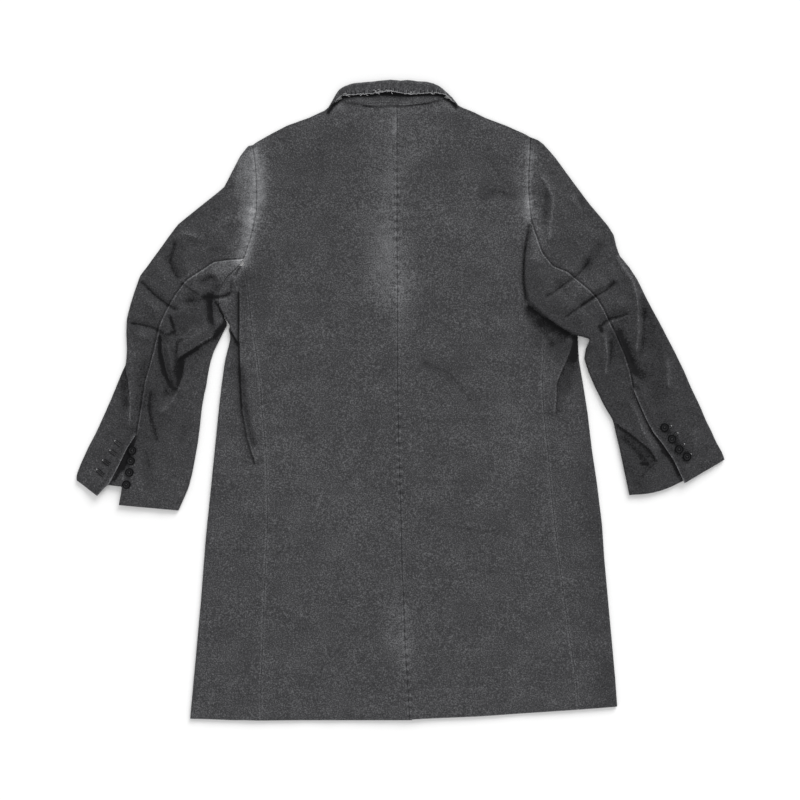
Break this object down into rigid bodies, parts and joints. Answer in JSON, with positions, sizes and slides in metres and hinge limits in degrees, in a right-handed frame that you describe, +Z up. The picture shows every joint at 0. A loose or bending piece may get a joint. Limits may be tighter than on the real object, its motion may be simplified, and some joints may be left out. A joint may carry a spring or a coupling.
{
  "type": "single-breasted coat laid flat on its front",
  "caption": "Thigh-length tailored coat lying flat with its back uppermost: seamed back and sides, pleated two-piece sleeves with buttoned cuff vents, and a narrow raw-edged collar.",
  "frame": {"origin": "on the surface the coat lies on, under the middle of its outline", "axes": "+X to the right as the back is looked at, +Y towards the collar, +Z up off the surface"},
  "size_m": [1.0678, 1.0557, 0.0156],
  "materials": {
    "cloth": "washed matt twill",
    "cloth_side": "washed matt twill",
    "button": "satin black"
  },
  "bodies": {
    "root": {"back_left": "cloth", "back_right": "cloth", "side_left": "cloth_side", "side_right": "cloth_side", "front_left": "cloth", "front_right": "cloth", "collar_stand": "cloth_side", "collar_fall": "cloth", "topsleeve_left": "cloth", "undersleeve_left": "cloth_side", "topsleeve_right": "cloth", "undersleeve_right": "cloth_side", "cuff_button_left_1": "button", "cuff_button_left_2": "button", "cuff_button_left_3": "button", "cuff_button_left_4": "button", "cuff_button_right_1": "button", "cuff_button_right_2": "button", "cuff_button_right_3": "button", "cuff_button_right_4": "button"}
  },
  "joints": []
}
